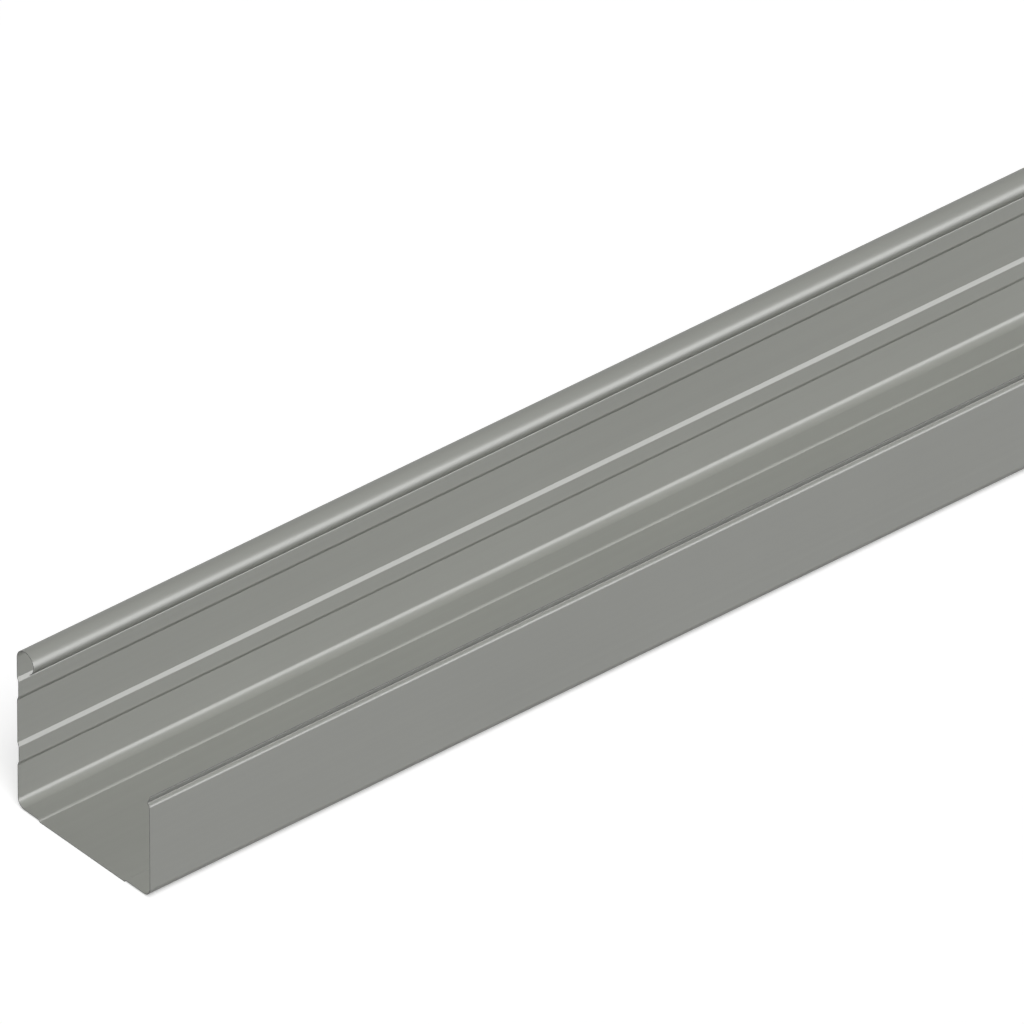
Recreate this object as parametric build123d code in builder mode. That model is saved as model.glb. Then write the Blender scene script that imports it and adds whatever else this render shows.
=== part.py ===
"""Square-line roll-formed steel eaves gutter, one stock length with both ends cut square.

The gutter is one strip of thin sheet, bent along its length. Its section runs from the
flared lip of the low back wall, down that wall, across the floor with its shallow channel,
and up the high front wall with its two pressed swages to the rolled bead on top.

Millimetres. +X runs along the gutter, +Y points at the front wall, +Z is up. The origin is
the middle of the base, under the middle of the whole depth from bead to lip.
"""
from build123d import *

import os

# Stock
length = 2400.0            # one stock length
sheet = 0.6                # thickness of the coated strip
bend_radius = 1.0          # outer face of every small bend

# Trough, measured over the outer faces
outer_width = 125.0        # front wall to back wall
front_height = 118.8       # base to the top of the bead
back_height = 75.7         # base to the tip of the back lip
corner_radius = 6.2        # outer face of the two bottom corners

# Rolled bead along the front wall's top, curling in over the trough
bead_diameter = 16.2
bead_sweep = 238.0         # degrees of arc from the wall round to the sheet's edge

# Two swages pressed into the trough along the front wall
swage_depth = 1.15
swage_flat = 11.1
swage_flank = 2.8          # height of one sloping side
upper_swage_drop = 22.9    # bead's centre down to the upper swage's middle
swage_pitch = 47.95

# Shallow channel that lowers the middle of the floor
channel_drop = 1.4
channel_flank = 0.9        # width of one sloping side
front_shelf = 20.2         # front wall to the middle of the front flank
back_shelf = 23.8          # back wall to the middle of the back flank

# Top edge of the back wall: a rounded ledge turned in to a sharp crease
ledge_depth = 2.15         # back wall's outer face in to the crease
ledge_rise = 1.25
ledge_radius = 2.6
crease_radius = 0.4

# Lip that flares out above the crease, steeply at its foot and less at its tip
foot_flare = 2.05
foot_rise = 3.45
tip_flare = 0.6
tip_rise = 2.2

# Places in the section, with the base at zero and the depth centred
lip_overhang = foot_flare + tip_flare - ledge_depth
front_y = (outer_width + lip_overhang) / 2
back_y = front_y - outer_width
crease_y = back_y + ledge_depth
tip_foot_y = crease_y - foot_flare
tip_foot_z = back_height - tip_rise
crease_z = tip_foot_z - foot_rise
ledge_z = crease_z - ledge_rise
shelf_z = channel_drop
bead_radius = bead_diameter / 2
bead_y = front_y - bead_radius
bead_z = front_height - bead_radius


def channel_side(middle_y, inward):
    """Outer face of one flank of the channel, as its shelf end and its channel end."""
    shelf_end = (middle_y - inward * channel_flank / 2, shelf_z)
    channel_end = (middle_y + inward * channel_flank / 2, 0)
    return [shelf_end, channel_end]


def swage(middle_z):
    """Outer face of one swage in the front wall, from its lower edge up."""
    pressed_y = front_y - swage_depth
    half_flat = swage_flat / 2
    half_swage = half_flat + swage_flank
    return [
        (front_y, middle_z - half_swage),
        (pressed_y, middle_z - half_flat),
        (pressed_y, middle_z + half_flat),
        (front_y, middle_z + half_swage),
    ]


lip_tip = [(tip_foot_y - tip_flare, back_height)]
lip_foot = [(tip_foot_y, tip_foot_z)]
crease = [(crease_y, crease_z)]
ledge = [(back_y, ledge_z)]
back_corner = [(back_y, shelf_z)]
floor = channel_side(back_y + back_shelf, 1) + channel_side(front_y - front_shelf, -1)[::-1]
front_corner = [(front_y, shelf_z)]
upper_swage_z = bead_z - upper_swage_drop
swages = swage(upper_swage_z - swage_pitch) + swage(upper_swage_z)
bead_start = [(front_y, bead_z)]

# Each stretch of the outline has one radius for its bends; the two ends of the line have none
bent_stretches = [
    (lip_foot, bend_radius),
    (crease, crease_radius),
    (ledge, ledge_radius),
    (back_corner, corner_radius),
    (floor, bend_radius),
    (front_corner, corner_radius),
    (swages, bend_radius),
]
bend_points = [point for points, _ in bent_stretches for point in points]
bend_radii = [radius for points, radius in bent_stretches for _ in points]

with BuildPart() as gutter_section:
    with BuildSketch(Plane.YZ.offset(-length / 2)):
        with BuildLine():
            FilletPolyline(lip_tip + bend_points + bead_start, radius=bend_radii)
            CenterArc((bead_y, bead_z), bead_radius, 0, bead_sweep)
            offset(amount=sheet, side=Side.RIGHT)
        make_face()
    extrude(amount=length)

gutter_section.part.label = "gutter_section"

os.makedirs("parts", exist_ok=True)
export_step(gutter_section.part, "parts/gutter_section.step")
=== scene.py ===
"""Square-line eaves gutter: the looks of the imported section, in metres, in the part's own frame.

The gutter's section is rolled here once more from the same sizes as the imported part, with fine
bends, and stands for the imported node. It carries a semi-gloss colour coat on both faces and bare
sheared steel on its cut edges.
"""

import logging
import math
from dataclasses import dataclass, field
from enum import Enum

import bpy
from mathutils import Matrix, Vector


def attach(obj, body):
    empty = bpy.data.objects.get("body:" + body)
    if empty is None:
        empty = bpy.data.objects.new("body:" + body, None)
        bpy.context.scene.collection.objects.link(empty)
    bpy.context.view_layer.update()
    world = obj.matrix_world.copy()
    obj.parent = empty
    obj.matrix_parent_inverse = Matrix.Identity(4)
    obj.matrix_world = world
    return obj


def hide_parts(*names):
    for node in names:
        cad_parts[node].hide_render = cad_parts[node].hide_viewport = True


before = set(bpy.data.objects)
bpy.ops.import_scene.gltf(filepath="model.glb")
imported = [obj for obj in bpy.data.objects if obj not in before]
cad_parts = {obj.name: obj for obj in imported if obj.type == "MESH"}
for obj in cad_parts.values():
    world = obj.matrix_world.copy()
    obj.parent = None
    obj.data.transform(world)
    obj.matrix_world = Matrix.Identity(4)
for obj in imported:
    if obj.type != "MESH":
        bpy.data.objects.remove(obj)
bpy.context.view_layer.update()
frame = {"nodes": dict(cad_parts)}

MM = 0.001
WHITE = (1.0, 1.0, 1.0, 1.0)

# The mesh's attribute that tells the coat how far a bend has stretched it, from nought to one
STRETCH = "stretch"

Colour = tuple[float, float, float]
Point = tuple[float, float, float]
Direction = tuple[float, float, float]
Face = tuple[int, ...]
Socket = bpy.types.NodeSocket

log = logging.getLogger("gutter")


@dataclass(frozen=True)
class Corner:
    """A corner of the strip's outer face before it is rounded, in millimetres."""

    y: float
    z: float
    radius: float = 0.0

    def heading_to(self, after: "Corner") -> float:
        """The way to another corner, in radians from +Y towards +Z."""
        return math.atan2(after.z - self.z, after.y - self.y)


@dataclass(frozen=True)
class Station:
    """One place on the strip's outer face, in millimetres.

    The heading is the way the strip runs there, in radians from +Y towards +Z. The bend is the
    curvature there, one over the radius, and nought on a flat.
    """

    y: float
    z: float
    heading: float
    bend: float = 0.0

    @property
    def inward(self) -> tuple[float, float]:
        """The direction from the outer face into the sheet, towards the trough."""
        return -math.sin(self.heading), math.cos(self.heading)

    def shifted(self, depth: float, ahead: float = 0.0) -> tuple[float, float]:
        """A point some depth into the sheet and some way ahead along the strip.

        Args:
            depth: Millimetres from the outer face towards the trough.
            ahead: Millimetres along the heading.

        Returns:
            The point's Y and Z in millimetres.
        """
        inward_y, inward_z = self.inward
        return (
            self.y + depth * inward_y + ahead * math.cos(self.heading),
            self.z + depth * inward_z + ahead * math.sin(self.heading),
        )


@dataclass
class StripOutline:
    """Walks along the strip's outer face and notes a station at each step of a bend or a flat.

    A step is at most the arc step on a bend, in radians, and the flat step on a flat, in
    millimetres.
    """

    arc_step: float = math.radians(4.0)
    fewest_arc_steps: int = 2
    flat_step: float = 9.0
    stations: list[Station] = field(default_factory=list)

    def run_to(self, y: float, z: float) -> None:
        """Adds a flat, up to a point straight ahead.

        Args:
            y: The end's Y in millimetres.
            z: The end's Z in millimetres.
        """
        last = self.stations[-1]
        count = max(1, math.ceil(math.hypot(y - last.y, z - last.z) / self.flat_step))
        for step in range(1, count + 1):
            share = step / count
            here_y = last.y + share * (y - last.y)
            here_z = last.z + share * (z - last.z)
            self.stations.append(Station(here_y, here_z, last.heading))

    def bend_by(self, angle: float, radius: float) -> None:
        """Adds an arc that carries on from the last station.

        Args:
            angle: How far it turns, in radians, towards the trough when positive.
            radius: The outer face's radius in millimetres.
        """
        last = self.stations.pop()
        side = math.copysign(1.0, angle)
        centre_y, centre_z = last.shifted(side * radius)
        count = max(self.fewest_arc_steps, math.ceil(abs(angle) / self.arc_step))
        for step in range(count + 1):
            heading = last.heading + angle * step / count
            here_y = centre_y + side * radius * math.sin(heading)
            here_z = centre_z - side * radius * math.cos(heading)
            self.stations.append(Station(here_y, here_z, heading, side / radius))

    def follow(self, corners: list[Corner]) -> None:
        """Follows a line of corners from its first to its last, and rounds those between.

        Args:
            corners: The line's corners in order.
        """
        headings = [here.heading_to(after) for here, after in zip(corners, corners[1:])]
        first, *turns, last = corners
        self.stations = [Station(first.y, first.z, headings[0])]
        for corner, arriving, leaving in zip(turns, headings, headings[1:]):
            turn = math.remainder(leaving - arriving, math.tau)
            trim = corner.radius * math.tan(abs(turn) / 2)
            bend_y = corner.y - trim * math.cos(arriving)
            bend_z = corner.z - trim * math.sin(arriving)
            self.run_to(bend_y, bend_z)
            self.bend_by(turn, corner.radius)
        self.run_to(last.y, last.z)


@dataclass
class GutterSection:
    """The gutter's section in millimetres over its outer faces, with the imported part's sizes."""

    # Strip
    sheet: float = 0.6
    bend_radius: float = 1.0

    # Trough, over the walls and from the base up
    outer_width: float = 125.0
    front_height: float = 118.8
    back_height: float = 75.7
    corner_radius: float = 6.2

    # Rolled bead along the front wall's top
    bead_diameter: float = 16.2
    bead_sweep: float = math.radians(238.0)

    # Two swages pressed into the trough along the front wall
    swage_depth: float = 1.15
    swage_flat: float = 11.1
    swage_flank: float = 2.8
    upper_swage_drop: float = 22.9
    swage_pitch: float = 47.95

    # Shallow channel between the floor's two shelves
    channel_drop: float = 1.4
    channel_flank: float = 0.9
    front_shelf: float = 20.2
    back_shelf: float = 23.8

    # Ledge and crease along the back wall's top, and the lip that flares out above them
    ledge_depth: float = 2.15
    ledge_rise: float = 1.25
    ledge_radius: float = 2.6
    crease_radius: float = 0.4
    foot_flare: float = 2.05
    foot_rise: float = 3.45
    tip_flare: float = 0.6
    tip_rise: float = 2.2

    @property
    def front_y(self) -> float:
        """The front wall's outer face, with the whole depth from bead to lip centred."""
        overhang = self.foot_flare + self.tip_flare - self.ledge_depth
        return (self.outer_width + overhang) / 2

    @property
    def back_y(self) -> float:
        """The back wall's outer face."""
        return self.front_y - self.outer_width

    @property
    def bead_z(self) -> float:
        """The height of the bead's centre."""
        return self.front_height - self.bead_diameter / 2

    def lip(self) -> list[Corner]:
        """Sets out the back wall's top.

        Returns:
            Its corners from the lip's tip down to the ledge.
        """
        crease_y = self.back_y + self.ledge_depth
        foot_y = crease_y - self.foot_flare
        foot_z = self.back_height - self.tip_rise
        crease_z = foot_z - self.foot_rise
        return [
            Corner(foot_y - self.tip_flare, self.back_height),
            Corner(foot_y, foot_z, self.bend_radius),
            Corner(crease_y, crease_z, self.crease_radius),
            Corner(self.back_y, crease_z - self.ledge_rise, self.ledge_radius),
        ]

    def channel_side(self, middle_y: float, inward: int) -> list[Corner]:
        """Sets out one flank of the floor's shallow channel.

        Args:
            middle_y: The flank's middle.
            inward: The sign of Y from the flank into the channel.

        Returns:
            The flank's shelf end and its channel end.
        """
        half = inward * self.channel_flank / 2
        return [
            Corner(middle_y - half, self.channel_drop, self.bend_radius),
            Corner(middle_y + half, 0.0, self.bend_radius),
        ]

    def floor(self) -> list[Corner]:
        """Sets out the floor with its two bottom corners.

        Returns:
            Its corners from the back wall to the front one.
        """
        back = self.channel_side(self.back_y + self.back_shelf, 1)
        front = self.channel_side(self.front_y - self.front_shelf, -1)
        return [
            Corner(self.back_y, self.channel_drop, self.corner_radius),
            *back,
            *reversed(front),
            Corner(self.front_y, self.channel_drop, self.corner_radius),
        ]

    def swage(self, middle_z: float) -> list[Corner]:
        """Sets out one swage in the front wall.

        Args:
            middle_z: The height of its middle.

        Returns:
            Its four corners from its lower edge up.
        """
        pressed_y = self.front_y - self.swage_depth
        half_flat = self.swage_flat / 2
        half_swage = half_flat + self.swage_flank
        return [
            Corner(self.front_y, middle_z - half_swage, self.bend_radius),
            Corner(pressed_y, middle_z - half_flat, self.bend_radius),
            Corner(pressed_y, middle_z + half_flat, self.bend_radius),
            Corner(self.front_y, middle_z + half_swage, self.bend_radius),
        ]

    def stations(self) -> list[Station]:
        """Walks the whole section.

        Returns:
            The strip's outer face from the lip's tip to the bead's rolled-in edge.
        """
        upper_swage_z = self.bead_z - self.upper_swage_drop
        outline = StripOutline()
        outline.follow(
            [
                *self.lip(),
                *self.floor(),
                *self.swage(upper_swage_z - self.swage_pitch),
                *self.swage(upper_swage_z),
                Corner(self.front_y, self.bead_z),
            ]
        )
        outline.bend_by(self.bead_sweep, self.bead_diameter / 2)
        return outline.stations


class Operation(Enum):
    """What a math node makes of its two values, in Blender's own words."""

    ADD = "ADD"
    LARGER = "MAXIMUM"


@dataclass
class NodeSheet:
    """The node tree of a new material or world, with short calls for the nodes that they share."""

    owner: "bpy.types.Material | bpy.types.World"

    # The span that nearly all of a noise keeps within
    noise_low: float = 0.25
    noise_high: float = 0.75

    def __post_init__(self) -> None:
        """Empties the tree."""
        self.owner.use_nodes = True
        self.owner.node_tree.nodes.clear()

    def add(self, kind: str) -> bpy.types.Node:
        """Adds a node of that kind."""
        return self.owner.node_tree.nodes.new(kind)

    def join(self, output: Socket, socket: Socket) -> None:
        """Links an output to an input."""
        self.owner.node_tree.links.new(output, socket)

    def surface(self, shader: Socket) -> None:
        """Feeds a shader to a material's surface."""
        output = self.add("ShaderNodeOutputMaterial")
        self.join(shader, output.inputs["Surface"])

    def principled(self, colour: Colour, roughness: float) -> bpy.types.Node:
        """Adds the main shader and the output it feeds.

        Args:
            colour: Linear base colour, for where nothing is linked.
            roughness: Plain roughness, for where nothing is linked.

        Returns:
            The shader node.
        """
        shader = self.add("ShaderNodeBsdfPrincipled")
        shader.inputs["Base Color"].default_value = (*colour, 1.0)
        shader.inputs["Roughness"].default_value = roughness
        self.surface(shader.outputs["BSDF"])
        return shader

    def noise(self, place: Socket, detail: float, scale: float = 1.0) -> Socket:
        """Adds a noise.

        Args:
            place: The coordinates it runs over.
            detail: Octaves.
            scale: Features for each unit of the coordinates.

        Returns:
            Its value.
        """
        node = self.add("ShaderNodeTexNoise")
        node.inputs["Scale"].default_value = scale
        node.inputs["Detail"].default_value = detail
        self.join(place, node.inputs["Vector"])
        return node.outputs["Fac"]

    def ranged(self, value: Socket, low: float, high: float) -> Socket:
        """Maps nought to one onto a range.

        Args:
            value: The value to map.
            low: What nought becomes.
            high: What one becomes.

        Returns:
            The mapped value.
        """
        node = self.add("ShaderNodeMapRange")
        node.inputs["To Min"].default_value = low
        node.inputs["To Max"].default_value = high
        self.join(value, node.inputs["Value"])
        return node.outputs["Result"]

    def calculated(self, operation: Operation, first: Socket, second: Socket) -> Socket:
        """Makes one value of two.

        Args:
            operation: How.
            first: One value.
            second: The other value.

        Returns:
            The new value.
        """
        node = self.add("ShaderNodeMath")
        node.operation = operation.value
        self.join(first, node.inputs[0])
        self.join(second, node.inputs[1])
        return node.outputs["Value"]

    def blend(self, first: Socket, second: Socket, share: float) -> Socket:
        """Mixes two values.

        Args:
            first: The value at a share of nought.
            second: The value at a share of one.
            share: How much of the second.

        Returns:
            The mixed value.
        """
        node = self.add("ShaderNodeMix")
        node.inputs["Factor"].default_value = share
        self.join(first, node.inputs["A"])
        self.join(second, node.inputs["B"])
        return node.outputs["Result"]

    def shaded(self, noise: Socket, colour: Colour, spread: float) -> Socket:
        """Makes a colour darker and lighter with a noise.

        Args:
            noise: The noise.
            colour: The colour in the middle.
            spread: The share that the darkest and the lightest shade differ from it.

        Returns:
            The shaded colour.
        """
        node = self.add("ShaderNodeValToRGB")
        dark, light = node.color_ramp.elements
        dark.position, light.position = self.noise_low, self.noise_high
        dark.color = (*(c * (1 - spread) for c in colour), 1.0)
        light.color = (*(c * (1 + spread) for c in colour), 1.0)
        self.join(noise, node.inputs["Fac"])
        return node.outputs["Color"]

    def bump(self, height: Socket, distance: float, under: "Socket | None" = None) -> Socket:
        """Adds a bump.

        Args:
            height: The value that stands for height.
            distance: The height of a value of one, in metres.
            under: A normal to add it to.

        Returns:
            The bumped normal.
        """
        node = self.add("ShaderNodeBump")
        node.inputs["Distance"].default_value = distance
        self.join(height, node.inputs["Height"])
        if under is not None:
            self.join(under, node.inputs["Normal"])
        return node.outputs["Normal"]

    def seen_directly(self) -> Socket:
        """Tells what is seen from what only gives light.

        Returns:
            One for what the camera, a reflection or a see-through surface shows, else nought.
        """
        rays = self.add("ShaderNodeLightPath").outputs
        mirrored = self.calculated(
            Operation.LARGER, rays["Is Glossy Ray"], rays["Is Transmission Ray"]
        )
        return self.calculated(Operation.LARGER, rays["Is Camera Ray"], mirrored)


class Finish(Enum):
    """The finishes on the gutter's mesh, by their place in its list of materials."""

    COATED = 0
    END_CUT = 1
    SLIT = 2


@dataclass(frozen=True)
class CoatedSteel:
    """Semi-gloss colour coat on thin galvanised strip, the same on both faces.

    Scales are features per metre and heights are metres. The forming lines have one scale along
    the gutter and one across it, and the bend roughening is how much rougher the coat is where
    a bend has stretched it most.
    """

    name: str = "coated_steel"
    colour: Colour = (0.266, 0.271, 0.25)
    shade_spread: float = 0.035
    roughness: float = 0.42
    roughness_spread: float = 0.06
    bend_roughening: float = 0.02
    specular_level: float = 0.3
    line_scale: tuple[float, float, float] = (0.7, 240.0, 240.0)
    line_detail: float = 3.0
    line_height: float = 0.000003
    cloud_scale: float = 9.0
    cloud_share: float = 0.5
    peel_scale: float = 700.0
    peel_height: float = 0.000003
    soft_detail: float = 2.0

    def material(self) -> bpy.types.Material:
        """Builds the coat with its fine peel, its faint forming lines and its stretched bends.

        Returns:
            The material.
        """
        sheet = NodeSheet(bpy.data.materials.new(self.name))
        shader = sheet.principled(self.colour, self.roughness)
        shader.inputs["Specular IOR Level"].default_value = self.specular_level
        place = sheet.add("ShaderNodeTexCoord").outputs["Object"]

        drawn = sheet.add("ShaderNodeMapping")
        drawn.inputs["Scale"].default_value = self.line_scale
        sheet.join(place, drawn.inputs["Vector"])
        lines = sheet.noise(drawn.outputs["Vector"], self.line_detail)
        clouds = sheet.noise(place, self.soft_detail, self.cloud_scale)
        peel = sheet.noise(place, self.soft_detail, self.peel_scale)

        mottle = sheet.blend(lines, clouds, self.cloud_share)
        shade = sheet.shaded(mottle, self.colour, self.shade_spread)
        sheet.join(shade, shader.inputs["Base Color"])

        stretched = sheet.add("ShaderNodeAttribute")
        stretched.attribute_name = STRETCH
        low = self.roughness - self.roughness_spread / 2
        dull = sheet.ranged(mottle, low, low + self.roughness_spread)
        duller = sheet.ranged(stretched.outputs["Fac"], 0.0, self.bend_roughening)
        worked = sheet.calculated(Operation.ADD, dull, duller)
        sheet.join(worked, shader.inputs["Roughness"])

        fine = sheet.bump(peel, self.peel_height)
        formed = sheet.bump(lines, self.line_height, fine)
        sheet.join(formed, shader.inputs["Normal"])
        return sheet.owner


@dataclass(frozen=True)
class BareSteel:
    """The strip's bare edges, where a blade has gone through zinc and steel.

    The marks' scale is features per metre, and their height is metres.
    """

    name: str
    colour: Colour
    shade_spread: float = 0.2
    roughness: float = 0.5
    metallic: float = 0.25
    mark_scale: float = 1900.0
    mark_detail: float = 3.0
    mark_height: float = 0.000006

    def material(self) -> bpy.types.Material:
        """Builds the bare edge with the blade's fine marks.

        Returns:
            The material.
        """
        sheet = NodeSheet(bpy.data.materials.new(self.name))
        shader = sheet.principled(self.colour, self.roughness)
        shader.inputs["Metallic"].default_value = self.metallic
        place = sheet.add("ShaderNodeTexCoord").outputs["Object"]
        marks = sheet.noise(place, self.mark_detail, self.mark_scale)
        shade = sheet.shaded(marks, self.colour, self.shade_spread)
        sheet.join(shade, shader.inputs["Base Color"])
        sheet.join(sheet.bump(marks, self.mark_height), shader.inputs["Normal"])
        return sheet.owner


@dataclass(frozen=True)
class RimPoint:
    """One point round the strip's cut face, in millimetres, with the way its surface faces.

    The stretch is how far the bend there has stretched the coat, from nought to one.
    """

    y: float
    z: float
    normal_y: float
    normal_z: float
    stretch: float
    finish: Finish


@dataclass
class Skin:
    """A mesh's faces in order, each with its finish and the normals at its corners."""

    rings: list[Face] = field(default_factory=list)
    finishes: list[Finish] = field(default_factory=list)
    normals: list[Direction] = field(default_factory=list)

    def add(self, ring: Face, finish: Finish, normals: list[Direction]) -> None:
        """Adds one face.

        Args:
            ring: The numbers of its points, anticlockwise as seen from outside.
            finish: Its finish.
            normals: The normal at each of its points.
        """
        self.rings.append(ring)
        self.finishes.append(finish)
        self.normals += normals


@dataclass
class GutterLength:
    """One stock length of the section, with both ends cut square, in millimetres.

    The mesh has a ring of points at each end and after each bay. The edge round is the radius at
    the slit edges' corners, and the coat is fully stretched on a bend of the tightest radius.
    """

    section: GutterSection = field(default_factory=GutterSection)
    length: float = 2400.0
    bay: float = 100.0
    edge_round: float = 0.12
    edge_round_steps: int = 3
    tightest_radius: float = 1.0
    coat: CoatedSteel = CoatedSteel()
    end_steel: BareSteel = BareSteel("end_cut", (0.18, 0.18, 0.176))
    # The slit edges' colour is partly bare steel and partly painted shade: it is darker than the
    # end cuts' to darken the band along the lip's top.
    slit_steel_and_shade: BareSteel = BareSteel("slit_edge", (0.13, 0.13, 0.127))
    name: str = "gutter_length"

    def face_point(self, station: Station, depth: float, side: float) -> RimPoint:
        """A point on one of the strip's two faces.

        Args:
            station: The station it belongs to.
            depth: How deep it lies in the sheet, in millimetres.
            side: Plus one where the surface looks into the trough, minus one where it looks out.

        Returns:
            The point.
        """
        y, z = station.shifted(depth)
        inward_y, inward_z = station.inward
        stretch = min(1.0, abs(station.bend) * self.tightest_radius)
        return RimPoint(y, z, side * inward_y, side * inward_z, stretch, Finish.COATED)

    def slit_edge(self, station: Station, ahead: float) -> list[RimPoint]:
        """The strip's slit edge, whose two corners are slightly rounded.

        Args:
            station: The station at the strip's end.
            ahead: Plus one at the strip's last end, minus one at its first.

        Returns:
            The edge's points from the outer face to the inner one.
        """
        inward_y, inward_z = station.inward
        ahead_y, ahead_z = ahead * math.cos(station.heading), ahead * math.sin(station.heading)
        points = []
        for depth, side in ((self.edge_round, -1.0), (self.section.sheet - self.edge_round, 1.0)):
            for step in range(self.edge_round_steps + 1):
                turned = math.pi / 2 * step / self.edge_round_steps
                angle = turned if side < 0 else math.pi / 2 - turned
                across, along = side * math.cos(angle), math.sin(angle)
                y, z = station.shifted(
                    depth + self.edge_round * across, ahead * self.edge_round * (along - 1)
                )
                normal_y = across * inward_y + along * ahead_y
                normal_z = across * inward_z + along * ahead_z
                points.append(RimPoint(y, z, normal_y, normal_z, 0.0, Finish.SLIT))
        return points

    def rim(self) -> tuple[list[RimPoint], list[Face]]:
        """The loop round the strip's cut face, and the small faces that fill it.

        Returns:
            The loop's points, and each face as places in the loop, facing +X.
        """
        stations = self.section.stations()
        inside = stations[1:-1]
        outer = [self.face_point(station, 0.0, -1.0) for station in inside]
        inner = [self.face_point(station, self.section.sheet, 1.0) for station in inside]
        bead_edge = self.slit_edge(stations[-1], 1.0)
        lip_edge = self.slit_edge(stations[0], -1.0)
        loop = [*outer, *bead_edge, *reversed(inner), *reversed(lip_edge)]

        run, edge, whole = len(inside), len(bead_edge), len(loop)
        turn_back = 2 * run + edge - 1
        fill = [(i, i + 1, turn_back - i - 1, turn_back - i) for i in range(run - 1)]
        fill.append(tuple(range(run - 1, run + edge + 1)))
        fill.append((*range(turn_back, whole), 0))
        return loop, fill

    def skin(self, loop: list[RimPoint], fill: list[Face], bays: int) -> Skin:
        """Joins the rings of points into a closed skin.

        Args:
            loop: The points of each ring.
            fill: The small faces that close a cut end, facing +X.
            bays: How many bays the length has.

        Returns:
            The skin's faces.
        """
        around = len(loop)
        skin = Skin()
        for near in range(0, bays * around, around):
            far = near + around
            for i, here in enumerate(loop):
                after = (i + 1) % around
                there = loop[after]
                slit = here.finish is there.finish is Finish.SLIT
                skin.add(
                    (near + i, near + after, far + after, far + i),
                    Finish.SLIT if slit else Finish.COATED,
                    [(0.0, p.normal_y, p.normal_z) for p in (here, there, there, here)],
                )
        for face in fill:
            for base, way, ring in ((0, -1.0, face[::-1]), (bays * around, 1.0, face)):
                normals = [(way, 0.0, 0.0)] * len(ring)
                skin.add(tuple(base + i for i in ring), Finish.END_CUT, normals)
        return skin

    def build(self) -> bpy.types.Object:
        """Builds the gutter as one closed mesh whose bends shade as true arcs.

        Returns:
            The mesh object, at the origin of the part's frame.
        """
        loop, fill = self.rim()
        bays = round(self.length / self.bay)
        places = [(i / bays - 0.5) * self.length * MM for i in range(bays + 1)]
        skin = self.skin(loop, fill, bays)

        mesh = bpy.data.meshes.new(self.name)
        mesh.from_pydata([(x, p.y * MM, p.z * MM) for x in places for p in loop], [], skin.rings)
        mesh.polygons.foreach_set("use_smooth", [True] * len(skin.rings))
        mesh.polygons.foreach_set("material_index", [finish.value for finish in skin.finishes])
        stretch = mesh.attributes.new(STRETCH, "FLOAT", "POINT")
        stretch.data.foreach_set("value", [p.stretch for _ in places for p in loop])
        mesh.update()
        mesh.normals_split_custom_set(skin.normals)
        gutter = bpy.data.objects.new(self.name, mesh)
        bpy.context.scene.collection.objects.link(gutter)
        return gutter

    def dress(self, gutter: bpy.types.Object) -> None:
        """Gives the mesh its three finishes, in the order of their places.

        Args:
            gutter: The mesh object.
        """
        steels = {
            Finish.COATED: self.coat,
            Finish.END_CUT: self.end_steel,
            Finish.SLIT: self.slit_steel_and_shade,
        }
        for finish in Finish:
            gutter.data.materials.append(steels[finish].material())


@dataclass(frozen=True)
class PaleFloor:
    """A plain pale floor that shows as white and keeps the gutter's soft shadow.

    The albedo is what it gives back to the gutter as plain light. Where it is looked at or
    mirrored it has the seen albedo, and glows by the lift.
    """

    half_width: float = 40.0
    albedo: float = 0.15
    seen_albedo: float = 0.8
    lift: float = 0.45
    name: str = "floor"

    def build(self) -> bpy.types.Object:
        """Lays the floor under the gutter.

        Returns:
            The floor.
        """
        half = self.half_width
        corners = [(-half, -half, 0), (half, -half, 0), (half, half, 0), (-half, half, 0)]
        mesh = bpy.data.meshes.new(self.name)
        mesh.from_pydata(corners, [], [(0, 1, 2, 3)])
        mesh.update()
        mesh.materials.append(self.material())
        floor = bpy.data.objects.new(self.name, mesh)
        bpy.context.scene.collection.objects.link(floor)
        return floor

    def material(self) -> bpy.types.Material:
        """Builds a matt pale surface, lifted to white where it is looked at or mirrored.

        Returns:
            The material.
        """
        sheet = NodeSheet(bpy.data.materials.new(self.name))
        seen = sheet.seen_directly()
        matt = sheet.add("ShaderNodeBsdfDiffuse")
        sheet.join(sheet.ranged(seen, self.albedo, self.seen_albedo), matt.inputs["Color"])
        glow = sheet.add("ShaderNodeEmission")
        sheet.join(sheet.ranged(seen, 0.0, self.lift), glow.inputs["Strength"])
        both = sheet.add("ShaderNodeAddShader")
        sheet.join(matt.outputs["BSDF"], both.inputs[0])
        sheet.join(glow.outputs["Emission"], both.inputs[1])
        sheet.surface(both.outputs["Shader"])
        return sheet.owner


@dataclass(frozen=True)
class StudioWorld:
    """Even light from all round, and a white background past the floor."""

    strength: float = 0.12
    name: str = "studio"

    def build(self) -> None:
        """Builds the world and gives it to the scene."""
        sheet = NodeSheet(bpy.data.worlds.new(self.name))
        even = sheet.add("ShaderNodeBackground")
        even.inputs["Strength"].default_value = self.strength
        white = sheet.add("ShaderNodeBackground")
        for node in (even, white):
            node.inputs["Color"].default_value = WHITE
        mixed = sheet.add("ShaderNodeMixShader")
        sheet.join(sheet.seen_directly(), mixed.inputs["Fac"])
        sheet.join(even.outputs["Background"], mixed.inputs[1])
        sheet.join(white.outputs["Background"], mixed.inputs[2])
        output = sheet.add("ShaderNodeOutputWorld")
        sheet.join(mixed.outputs["Shader"], output.inputs["Surface"])
        bpy.context.scene.world = sheet.owner


class LampRole(Enum):
    """What a lamp does.

    A body lamp lights the gutter and glints on its coat, a fill only lights it, and a sheen only
    glints on it. A floor lamp lights the floor alone, and throws the gutter's shadow there.
    """

    BODY = "body"
    FILL = "fill"
    SHEEN = "sheen"
    FLOOR = "floor"


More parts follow.
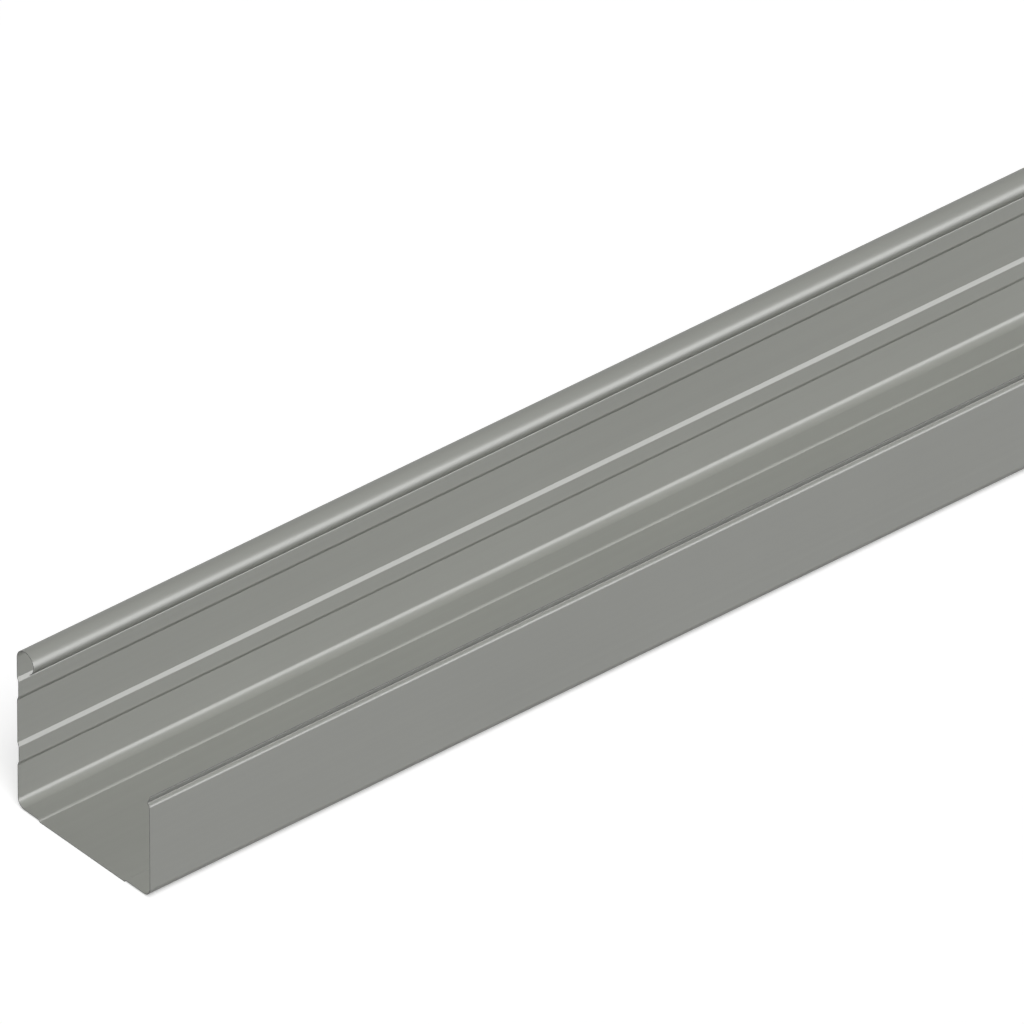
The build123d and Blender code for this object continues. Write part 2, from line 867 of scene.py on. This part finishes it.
@dataclass(frozen=True)
class StudioLamp:
    """A soft lamp so far off that it lights the whole length alike.

    Its strength is the share of white that a white sheet square to it would show, and its spread
    is how wide it looks from the gutter, in degrees.
    """

    name: str
    towards: Direction
    strength: float
    spread: float
    role: LampRole = LampRole.BODY

    def build(self, lit: bpy.types.Collection) -> None:
        """Hangs the lamp.

        Args:
            lit: The objects that it lights.
        """
        light = bpy.data.lights.new(self.name, "SUN")
        light.energy = self.strength * math.pi
        light.angle = math.radians(self.spread)
        light.use_shadow = self.role is LampRole.FLOOR
        lamp = bpy.data.objects.new(self.name, light)
        lamp.rotation_mode = "QUATERNION"
        lamp.rotation_quaternion = Vector(self.towards).to_track_quat("Z", "Y")
        lamp.visible_diffuse = self.role is not LampRole.SHEEN
        lamp.visible_glossy = self.role is not LampRole.FILL
        lamp.light_linking.receiver_collection = lit
        bpy.context.scene.collection.objects.link(lamp)


@dataclass(frozen=True)
class PortraitCamera:
    """A long lens at the photograph's angle, so that the gutter's lines stay all but parallel.

    The span is the picture's width at the middle of the view, in metres, and aside and above
    move the camera square to its own direction. The two clips are shares of its distance.
    """

    azimuth: float = math.radians(-40.0036)
    elevation: float = math.radians(35.126)
    lens: float = 1600.0
    sensor: float = 36.0
    span: float = 0.61934
    middle: Point = (-0.8007, 0.0, 0.05)
    aside: float = -0.04887
    above: float = 0.01675
    near_clip: float = 0.01
    far_clip: float = 4.0
    name: str = "portrait"

    def build(self) -> None:
        """Sets up the camera and makes it the scene's own."""
        level = math.cos(self.elevation)
        towards_x, towards_y = math.sin(self.azimuth), -math.cos(self.azimuth)
        back = Vector((towards_x * level, towards_y * level, math.sin(self.elevation)))
        right = Vector((0.0, 0.0, 1.0)).cross(back).normalized()
        up = back.cross(right)
        distance = self.span * self.lens / self.sensor
        data = bpy.data.cameras.new(self.name)
        data.lens = self.lens
        data.sensor_width = self.sensor
        data.clip_start = self.near_clip * distance
        data.clip_end = self.far_clip * distance
        camera = bpy.data.objects.new(self.name, data)
        centre = Vector(self.middle) + self.aside * right + self.above * up
        camera.location = centre + distance * back
        camera.rotation_mode = "QUATERNION"
        camera.rotation_quaternion = back.to_track_quat("Z", "Y")
        bpy.context.scene.collection.objects.link(camera)
        bpy.context.scene.camera = camera


@dataclass
class Studio:
    """The floor, the light and the camera round the gutter."""

    floor: PaleFloor = field(default_factory=PaleFloor)
    world: StudioWorld = field(default_factory=StudioWorld)
    camera: PortraitCamera = field(default_factory=PortraitCamera)
    lamps: tuple[StudioLamp, ...] = (
        StudioLamp("floor_key", (-0.35, -0.45, 0.82), 0.7, 35.0, LampRole.FLOOR),
        StudioLamp("key", (-0.235, -0.567, 0.788), 0.89, 17.0),
        StudioLamp("front_low", (-0.3, -0.73, -0.61), 0.08, 15.0, LampRole.FILL),
        StudioLamp("back_fill", (0.45, 0.84, -0.3), 0.8, 25.0, LampRole.FILL),
        StudioLamp("coat_sheen", (0.525, -0.845, -0.03), 2.25, 40.0, LampRole.SHEEN),
    )

    def build(self, gutter: bpy.types.Object) -> None:
        """Builds the studio and sets how its picture is shown.

        Args:
            gutter: The piece that the lamps light.
        """
        bpy.context.scene.view_settings.view_transform = "Standard"
        on_gutter = lit_alone(gutter)
        on_floor = lit_alone(self.floor.build())
        self.world.build()
        for lamp in self.lamps:
            lamp.build(on_floor if lamp.role is LampRole.FLOOR else on_gutter)
            log.info("lamp %s, strength %.2f", lamp.name, lamp.strength)
        self.camera.build()


def lit_alone(thing: bpy.types.Object) -> bpy.types.Collection:
    """Puts one object in a collection of its own, for the lamps that light nothing else.

    Args:
        thing: The object.

    Returns:
        The collection.
    """
    lit = bpy.data.collections.new(f"lit_{thing.name}")
    lit.objects.link(thing)
    return lit


def main() -> None:
    """Builds the gutter and the studio round it."""
    logging.basicConfig(level=logging.INFO, format="%(name)s: %(message)s")
    log.info("packed nodes: %s", ", ".join(frame["nodes"]))
    length = GutterLength()
    gutter = length.build()
    length.dress(gutter)
    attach(gutter, "root")
    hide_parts("gutter_section")
    log.info("piece %s, %d faces", gutter.name, len(gutter.data.polygons))
    Studio().build(gutter)
    bpy.context.view_layer.update()


if __name__ == "__main__":
    main()
